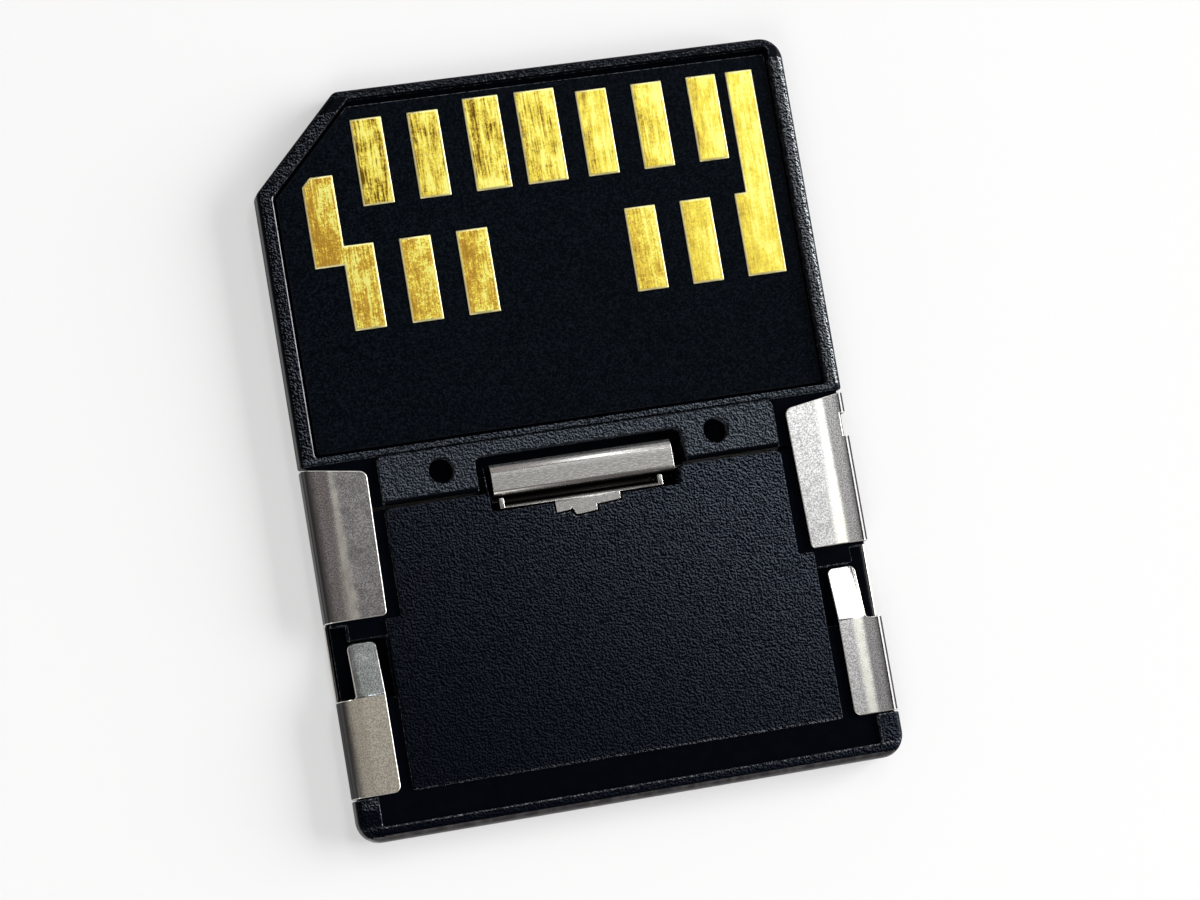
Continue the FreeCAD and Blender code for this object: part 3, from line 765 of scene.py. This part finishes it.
# Painted highlight: pale lines along the land's rear edge and the rear rim's inner edge.
near_edge = 0.0
for edge in (land_rear_edge, rear_rim_edge):
    off_edge = math_node(tree, "ABSOLUTE", math_node(tree, "SUBTRACT", axes["Y"], edge))
    at_edge = ramp(tree, off_edge, 0.0, highlight_edge_width, 1.0, 0.0)
    near_edge = math_node(tree, "ADD", near_edge, at_edge)
along_edge = ramp(
    tree, axes["X"], highlight_edge_left, highlight_edge_right, highlight_edge_left_share, 1.0
)
near_edge = math_node(tree, "MULTIPLY", near_edge, along_edge)
# Painted highlight: a pale patch on the left rear post.
post_highlight = post_highlight_share
for axis, middle, half in zip(("X", "Y"), post_highlight_middle, post_highlight_half):
    off_post_highlight = math_node(tree, "ABSOLUTE", math_node(tree, "SUBTRACT", axes[axis], middle))
    on_post_highlight = ramp(tree, off_post_highlight, half - post_highlight_fade, half, 1.0, 0.0)
    post_highlight = math_node(tree, "MULTIPLY", post_highlight, on_post_highlight)
near_edge = math_node(tree, "MAXIMUM", near_edge, post_highlight)
# Painted light: the painted lit flanks grow stronger towards the front right.
past_full = math_node(tree, "SUBTRACT", to_front_right, light_gradient_full_from)
halvings = math_node(tree, "DIVIDE", past_full, light_gradient_halving)
land_painted_light = math_node(tree, "MINIMUM", math_node(tree, "POWER", 2.0, halvings), light_gradient_most)
edge_highlight = math_node(tree, "MULTIPLY", near_edge, highlight_edge_share)
share = math_node(tree, "MULTIPLY", share, math_node(tree, "MAXIMUM", land_painted_light, edge_highlight))
# Painted shade: the outer part of the rear rim keeps few pale flanks.
rear_rim_unshaded = ramp(
    tree, axes["Y"], rear_rim_shade_from, rear_rim_shade_to, rear_rim_shade_share, 1.0
)
share = math_node(tree, "MULTIPLY", share, rear_rim_unshaded)
tip_colour = mixed_colour(tree, near_edge, body_lit_flank_colour, body_edge_highlight_colour)
grained = mixed_colour(tree, share, body_colour, tip_colour)
grained_finish(tree, shader, grained, height, share, body_pebble_depth, body_roughness)

# Painted light: the rounded edges carry bright painted lit flanks.
adapter_edge = grained_plastic(
    "adapter_edge",
    body_rounding_colour,
    body_rounding_lit_colour,
    0.7 * body_pebble,
    0.4 * body_pebble_depth,
    body_rounding_roughness,
)

# Painted reflection: the rear side and its rounding are painted paler, with a glossier finish.
adapter_side, tree, shader = new_material("adapter_side", Specular_IOR_Level=0.5)
flow_share = ramp(tree, soft_clouds(tree, 4 * body_pebble, 3.0), flow_from, flow_whole)
tree.links.new(
    mixed_colour(tree, flow_share, body_side_reflection_colour, body_side_pale_reflection_colour),
    shader.inputs["Base Color"],
)
tree.links.new(
    ramp(tree, flow_share, 0.0, 1.0, body_side_smooth, body_side_dull), shader.inputs["Roughness"]
)

body = merged_copy("adapter_body", "adapter_body_moulding")
round_edges(body, body_edge, adapter_plastic, adapter_edge)
finish_floors(body, body_floor_level, dark_plastic)
body.data.materials.append(adapter_side)
for face in body.data.polygons:
    if face.center.y < cad_box[0][1] + side_rounding:
        face.material_index = side_slot
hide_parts("adapter_body")
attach(body, "adapter")

# Steel shell: one stamped sheet under the adapter, with both sides folded up and in to four clips, and
# a tongue bent down in front of each rear clip. The rolled steel is finely speckled and its cut edges
# are bright. Three clips carry a painted highlight streak along them; the rear left one is duller and
# tinted warm, a painted reflection. The folded sides and the left tongue are painted shade.
shell_edge = 0.04 * mm
front_bow_start = 10.90 * mm
rear_bow_start = 10.95 * mm
shell_bow_end = 11.7 * mm
shell_bow_slope = 0.05
shell_crease = 0.20 * mm
shell_upper_level = 1.0 * mm
clip_gap_middle = -7.5 * mm
steel_colour = (0.295, 0.29, 0.295, 1.0)
steel_pale_colour = (0.635, 0.63, 0.62, 1.0)
steel_bright_and_highlight_colour = (0.83, 0.82, 0.735, 1.0)
steel_side_shade_colour = (0.07, 0.07, 0.07, 1.0)
steel_warm_reflection_colour = (0.36, 0.335, 0.265, 1.0)
steel_warm_reflection_pale_colour = (0.62, 0.58, 0.465, 1.0)
steel_warm_reflection_share = 0.8
steel_tongue_shade_colour = (0.17, 0.185, 0.18, 1.0)
steel_tongue_shade_pale_colour = (0.36, 0.385, 0.38, 1.0)
steel_tongue_shade_share = 0.9
steel_fold_tint = (0.40, 0.40, 0.40, 1.0)
steel_speckle = 0.06 * mm
steel_speckle_from, steel_speckle_whole = 0.34, 0.66
steel_cloud_scale = 0.12
steel_smooth, steel_dull = 0.15, 0.19
rear_left_dullness = 0.21
highlight_track_middle = 10.83 * mm
highlight_track_front_half = 0.11 * mm
highlight_track_rear_half = 0.27 * mm
highlight_track_narrowing = 0.10 * mm
highlight_track_ragged = 0.75 * mm
highlight_track_wander = 0.16 * mm
highlight_track_fade = 0.05 * mm
clip_top_from, clip_top_whole = 1.33 * mm, 1.36 * mm
front_clip_front = -0.3 * mm
front_clip_rear = -6.6 * mm
rear_clip_front = -9.9 * mm
fold_shade_start, fold_shade_end = 11.42 * mm, 11.90 * mm
cut_smooth, cut_dull = 0.30, 0.40


def steel_speckles():
    """Fine salt-and-pepper speckle of rolled sheet, and slow clouds over it."""
    group, given, result = new_group(
        "steel_speckles", {"Speck size": steel_speckle}, ["Specks", "Clouds"]
    )
    where = add_node(group, "ShaderNodeTexCoord").outputs["Object"]
    scale = math_node(group, "DIVIDE", 1.0, given.outputs["Speck size"])
    slow = math_node(group, "MULTIPLY", scale, steel_cloud_scale)
    for label, size, detail in (("Specks", scale, 2.0), ("Clouds", slow, 3.0)):
        noise = add_node(
            group, "ShaderNodeTexNoise", {"Vector": where, "Scale": size, "Detail": detail}
        )
        group.links.new(noise.outputs["Fac"], result.inputs[label])
    return group


speckle_group = steel_speckles()
shell_steel, tree, shader = new_material(
    "shell_steel", Metallic=1.0, Specular_Tint=steel_fold_tint
)
speckle = add_node(tree, "ShaderNodeGroup", node_tree=speckle_group)
speckle.inputs["Speck size"].default_value = steel_speckle
axes = place_axes(tree)
off_middle = math_node(tree, "ABSOLUTE", axes["X"])
# Painted highlight: a bright ragged streak along three clips, in the base colour.
ragged = math_node(tree, "SUBTRACT", speckle.outputs["Specks"], 0.5)
ragged = math_node(tree, "MULTIPLY", ragged, highlight_track_ragged)
wander = math_node(tree, "SUBTRACT", speckle.outputs["Clouds"], 0.5)
wander = math_node(tree, "MULTIPLY", wander, highlight_track_wander)
off_highlight_track = math_node(tree, "SUBTRACT", off_middle, highlight_track_middle)
off_highlight_track = math_node(tree, "ABSOLUTE", math_node(tree, "ADD", off_highlight_track, wander))
off_highlight_track = math_node(tree, "ADD", off_highlight_track, ragged)
highlight_track_half = ramp(
    tree, axes["Y"], front_clip_rear, front_clip_front, highlight_track_rear_half, highlight_track_front_half
)
narrowing = ramp(tree, axes["Y"], clip_gap_middle - mm, clip_gap_middle, highlight_track_narrowing, 0.0)
beyond_highlight_track = math_node(
    tree, "ADD", math_node(tree, "SUBTRACT", off_highlight_track, highlight_track_half), narrowing
)
highlight_track = ramp(tree, beyond_highlight_track, -highlight_track_fade, highlight_track_fade, 1.0, 0.0)
front_or_right = math_node(
    tree,
    "ADD",
    math_node(tree, "GREATER_THAN", axes["Y"], clip_gap_middle),
    math_node(tree, "GREATER_THAN", axes["X"], 0.0),
    clamp=True,
)
for limit in (
    ramp(tree, axes["Z"], clip_top_from, clip_top_whole),
    ramp(tree, axes["Y"], front_clip_front, 0.0, 1.0, 0.0),
    front_or_right,
):
    highlight_track = math_node(tree, "MULTIPLY", highlight_track, limit)
# Painted reflection: the rear left clip gets a warm tint, and it is also rougher.
on_left = math_node(tree, "LESS_THAN", axes["X"], 0.0)
rear_left_clip = math_node(
    tree, "MULTIPLY", on_left, math_node(tree, "LESS_THAN", axes["Y"], rear_clip_front)
)
# Painted shade: the left tongue is painted darker.
shaded_left_tongue = math_node(
    tree,
    "MULTIPLY",
    math_node(tree, "SUBTRACT", on_left, rear_left_clip),
    math_node(tree, "LESS_THAN", axes["Y"], clip_gap_middle),
)
specks = ramp(tree, speckle.outputs["Specks"], steel_speckle_from, steel_speckle_whole)
sheet_colour = mixed_colour(tree, specks, steel_colour, steel_pale_colour)
# Painted reflection: a warm tint on the rear left clip; painted shade: a darker left tongue.
for place, share, dark, pale in (
    (rear_left_clip, steel_warm_reflection_share, steel_warm_reflection_colour, steel_warm_reflection_pale_colour),
    (shaded_left_tongue, steel_tongue_shade_share, steel_tongue_shade_colour, steel_tongue_shade_pale_colour),
):
    there = math_node(tree, "MULTIPLY", place, share)
    local_colour = mixed_colour(tree, specks, dark, pale)
    sheet_colour = mixed_colour(tree, there, sheet_colour, local_colour)
# Painted shade: the folded sides are painted dark.
shaded_fold = ramp(tree, off_middle, fold_shade_start, fold_shade_end)
sheet_colour = mixed_colour(tree, shaded_fold, sheet_colour, steel_side_shade_colour)
tree.links.new(
    mixed_colour(tree, highlight_track, sheet_colour, steel_bright_and_highlight_colour), shader.inputs["Base Color"]
)
sheet_rough = ramp(tree, speckle.outputs["Clouds"], 0.3, 0.7, steel_smooth, steel_dull)
dullness = math_node(tree, "MULTIPLY", rear_left_clip, rear_left_dullness)
tree.links.new(math_node(tree, "ADD", sheet_rough, dullness), shader.inputs["Roughness"])

cut_steel, tree, shader = new_material("cut_steel", Metallic=1.0)
speckle = add_node(tree, "ShaderNodeGroup", node_tree=speckle_group)
speckle.inputs["Speck size"].default_value = 0.6 * steel_speckle
cut_share = ramp(tree, speckle.outputs["Specks"], 0.35, 0.65)
tree.links.new(
    mixed_colour(tree, cut_share, steel_pale_colour, steel_bright_and_highlight_colour),
    shader.inputs["Base Color"],
)
tree.links.new(ramp(tree, cut_share, 0.0, 1.0, cut_dull, cut_smooth), shader.inputs["Roughness"])


def bow_clips(shape, start, is_here):
    """Tilts the outer part of the clips of one pair slightly downwards, from a narrow crease."""
    for place in (start, start + shell_crease):
        for side in (-1, 1):
            faces = []
            for face in shape.faces:
                middle = face.calc_center_median()
                if is_here(middle) and middle.z > shell_upper_level:
                    faces.append(face)
            edges = {edge for face in faces for edge in face.edges}
            points = {point for face in faces for point in face.verts}
            bmesh.ops.bisect_plane(
                shape,
                geom=faces + list(edges) + list(points),
                dist=housing_weld,
                plane_co=(side * place, 0, 0),
                plane_no=(1, 0, 0),
            )
    for point in shape.verts:
        if is_here(point.co) and point.co.z > shell_upper_level:
            beyond = min(abs(point.co.x), shell_bow_end) - start
            point.co.z -= shell_bow_slope * max(beyond, 0.0)


shell = merged_copy("steel_shell", "steel_shell_sheet")
bowed = bmesh.new()
bowed.from_mesh(shell.data)
bow_clips(bowed, front_bow_start, lambda place: place.y > clip_gap_middle)
bow_clips(bowed, rear_bow_start, lambda place: place.y < clip_gap_middle)
bowed.to_mesh(shell.data)
bowed.free()
round_edges(shell, shell_edge, shell_steel, cut_steel)
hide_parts("steel_shell")
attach(shell, "adapter")

# Latch spring: a strip of spring steel with its root in the adapter body, folded to a hairpin loop
# and a hooked lip that holds the card. Short fine lines from rolling run across the card, the lip
# carries a painted highlight, and the part down in the well is painted shade.
latch_edge = 0.022 * mm
spring_colour = (0.315, 0.31, 0.295, 1.0)
spring_pale_colour = (0.465, 0.46, 0.44, 1.0)
spring_well_shade_colour = (0.03, 0.029, 0.027, 1.0)
spring_lip_highlight_colour = (0.75, 0.745, 0.72, 1.0)
spring_lip_highlight_share = 0.8
spring_smooth, spring_dull = 0.26, 0.34
rolling_along = 0.22 * mm
rolling_across = 0.045 * mm
lip_rear, lip_front = -1.55 * mm, -1.15 * mm
well_level, well_top = 0.95 * mm, 1.2 * mm

spring_steel, tree, shader = new_material("spring_steel", Metallic=1.0)
axes = place_axes(tree)
drawn = add_node(
    tree,
    "ShaderNodeCombineXYZ",
    {
        "X": math_node(tree, "DIVIDE", axes["X"], rolling_along),
        "Y": math_node(tree, "DIVIDE", axes["Y"], rolling_across),
    },
)
rolling = add_node(
    tree, "ShaderNodeTexNoise", {"Vector": drawn.outputs[0], "Scale": 1.0, "Detail": 2.0}
)
spring_share = ramp(tree, rolling.outputs["Fac"], 0.3, 0.7)
spring_top = mixed_colour(tree, spring_share, spring_colour, spring_pale_colour)
# Painted highlight: the hooked lip is painted pale.
lip_highlight = ramp(tree, axes["Y"], lip_rear, lip_front, 0.0, spring_lip_highlight_share)
spring_top = mixed_colour(tree, lip_highlight, spring_top, spring_lip_highlight_colour)
# Painted shade: the spring is painted dark down in the well.
above_well = ramp(tree, axes["Z"], well_level, well_top)
tree.links.new(
    mixed_colour(tree, above_well, spring_well_shade_colour, spring_top), shader.inputs["Base Color"]
)
tree.links.new(
    ramp(tree, spring_share, 0.0, 1.0, spring_dull, spring_smooth), shader.inputs["Roughness"]
)

latch = merged_copy("latch_spring", "latch_spring_strip")
round_edges(latch, latch_edge, spring_steel, cut_steel)
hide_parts("latch_spring")
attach(latch, "adapter")

# Floor and light: a pale table, lifted towards white only where it is looked at, that keeps the card's
# shadow. A broad window overhead on the right, a large soft lamp low on the right and a weak one
# behind on the left light the card, in a room that is dark overhead and pale near the floor.
floor_half = 1.2
floor_colour = (0.50, 0.50, 0.50, 1.0)
floor_glow_colour = (0.42, 0.425, 0.425, 1.0)
no_glow_colour = (0.0, 0.0, 0.0, 1.0)
window_radiance = 2.05
far_window_radiance = 4.4
window_colour = (0.98, 1.0, 1.0, 1.0)
dark_room_colour = (0.120, 0.102, 0.104, 1.0)
left_room_colour = (0.300, 0.262, 0.255, 1.0)
pale_room_colour = (0.85, 0.86, 0.87, 1.0)
main_lamp_place = (0.65, 0.02, 0.26)
main_lamp_size = (0.60, 0.40)
main_lamp_radiance = 11.5
rear_lamp_place = (-0.16, -0.30, 0.28)
rear_lamp_size = (0.24, 0.24)
rear_lamp_radiance = 3.0

floor_mesh = bpy.data.meshes.new("floor")
floor_mesh.from_pydata(
    [
        (-floor_half, -floor_half, 0),
        (floor_half, -floor_half, 0),
        (floor_half, floor_half, 0),
        (-floor_half, floor_half, 0),
    ],
    [],
    [(0, 1, 2, 3)],
)
floor = bpy.data.objects.new("floor", floor_mesh)
bpy.context.scene.collection.objects.link(floor)
floor_paint, tree, shader = new_material(
    "floor_paint",
    Base_Color=floor_colour,
    Roughness=0.9,
    Specular_IOR_Level=0.1,
    Emission_Strength=1.0,
)
ray = add_node(tree, "ShaderNodeLightPath").outputs
seen = math_node(tree, "ADD", ray["Is Camera Ray"], ray["Is Glossy Ray"])
seen = math_node(tree, "ADD", seen, ray["Is Transmission Ray"], clamp=True)
tree.links.new(
    mixed_colour(tree, seen, no_glow_colour, floor_glow_colour), shader.inputs["Emission Color"]
)
floor_mesh.materials.append(floor_paint)


def soft_lamp(name, place, size, radiance):
    """A rectangular soft lamp that faces the card, with its surface brightness given."""
    lamp = bpy.data.lights.new(name, "AREA")
    lamp.shape = "RECTANGLE"
    lamp.size, lamp.size_y = size
    lamp.energy = radiance * math.pi * size[0] * size[1]
    holder = bpy.data.objects.new(name, lamp)
    holder.location = place
    holder.rotation_euler = (-holder.location).to_track_quat("-Z", "Y").to_euler()
    bpy.context.scene.collection.objects.link(holder)


soft_lamp("main_lamp", main_lamp_place, main_lamp_size, main_lamp_radiance)
soft_lamp("rear_lamp", rear_lamp_place, rear_lamp_size, rear_lamp_radiance)

world = bpy.data.worlds.new("room")
bpy.context.scene.world = world
world.use_nodes = True
tree = world.node_tree
tree.nodes.clear()
direction = add_node(
    tree, "ShaderNodeSeparateXYZ", {0: add_node(tree, "ShaderNodeTexCoord").outputs["Generated"]}
).outputs
upward = math_node(tree, "MAXIMUM", direction["Z"], 0.05)
rightward = math_node(tree, "DIVIDE", direction["X"], upward)
forward = math_node(tree, "DIVIDE", direction["Y"], upward)
widened = math_node(tree, "SUBTRACT", rightward, ramp(tree, forward, 0.3, 0.9, 0.0, 0.2))
window = ramp(tree, forward, 0.08, 0.22, window_radiance, far_window_radiance)
for side in (
    ramp(tree, rightward, 0.155, 0.30),
    ramp(tree, widened, 0.30, 0.44, 1.0, 0.0),
    ramp(tree, forward, -0.05, 0.10),
    ramp(tree, forward, 0.7, 1.5, 1.0, 0.0),
):
    window = math_node(tree, "MULTIPLY", window, side)
near_floor = math_node(
    tree,
    "MULTIPLY",
    ramp(tree, direction["Z"], 0.08, 0.42, 1.0, 0.0),
    ramp(tree, direction["Y"], -0.6, -0.1, 0.25, 1.0),
)
overhead_colour = mixed_colour(
    tree, ramp(tree, rightward, -0.02, 0.12), left_room_colour, dark_room_colour
)
room_colour = mixed_colour(tree, near_floor, overhead_colour, pale_room_colour)
room = add_node(tree, "ShaderNodeBackground", {"Color": room_colour, "Strength": 1.0})
window_light = add_node(tree, "ShaderNodeBackground", {"Color": window_colour, "Strength": window})
both = add_node(tree, "ShaderNodeAddShader", {0: room.outputs[0], 1: window_light.outputs[0]})
add_node(tree, "ShaderNodeOutputWorld", {"Surface": both.outputs[0]})

# Camera: stands above the card, a little to its left and rear, at the photograph's viewing angle. Its
# place and its long lens were fitted to the straight edges on the card's top.
camera_place = (-32.611 * mm, -17.068 * mm, 155.150 * mm)
camera_turn = (7.831, -11.126, -9.849)
camera_lens = 110.5
camera_film = 36.0

camera = bpy.data.cameras.new("camera")
camera.sensor_width = camera_film
camera.lens = camera_lens
camera.clip_start = 0.01
camera_holder = bpy.data.objects.new("camera", camera)
camera_holder.location = camera_place
camera_holder.rotation_euler = [math.radians(angle) for angle in camera_turn]
bpy.context.scene.collection.objects.link(camera_holder)
bpy.context.scene.camera = camera_holder
bpy.context.scene.view_settings.view_transform = "Standard"
